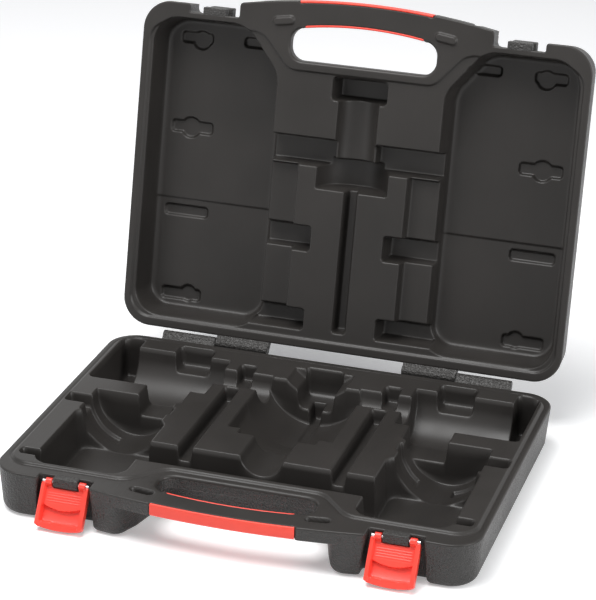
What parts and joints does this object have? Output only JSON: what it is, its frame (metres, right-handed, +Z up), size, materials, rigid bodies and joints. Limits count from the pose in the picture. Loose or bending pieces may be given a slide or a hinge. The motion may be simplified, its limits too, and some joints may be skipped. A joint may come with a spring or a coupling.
{
  "type": "tool carry case",
  "caption": "Open two-half moulded carry case for a tool set, with hinged lid, swing latches, sleeved carrying bars and moulded nests.",
  "frame": {"origin": "centre of the base's flat bottom face", "axes": "+X to the right seen from the handle side, +Y from the handle side to the hinge, +Z up; the lid lies open at rest"},
  "size_m": [0.46, 0.4787, 0.3978],
  "materials": {
    "case_black": "satin inside, fine pebble grain outside",
    "latch_red": "satin",
    "grip_red": "soft satin",
    "pin_steel": "drawn wire"
  },
  "bodies": {
    "base": {"base_shell": "case_black", "grip_base": "grip_red", "hinge_pin_left": "pin_steel", "hinge_pin_right": "pin_steel", "latch_pin_left": "pin_steel", "latch_pin_right": "pin_steel"},
    "lid": {"lid_shell": "case_black", "grip_lid": "grip_red"},
    "latch_left": {"latch_left": "latch_red"},
    "latch_right": {"latch_right": "latch_red"}
  },
  "joints": [
    {"name": "lid_hinge", "type": "hinge", "parent": "base", "child": "lid", "pos_m": [0, 0.1745, 0.0462], "axis": [1, 0, 0], "range_deg": [0, 102]},
    {"name": "latch_left_pivot", "type": "hinge", "parent": "base", "child": "latch_left", "pos_m": [-0.157, -0.1618, 0.041], "axis": [-1, 0, 0], "range_deg": [0, 148]},
    {"name": "latch_right_pivot", "type": "hinge", "parent": "base", "child": "latch_right", "pos_m": [0.157, -0.1618, 0.041], "axis": [-1, 0, 0], "range_deg": [0, 148]}
  ]
}
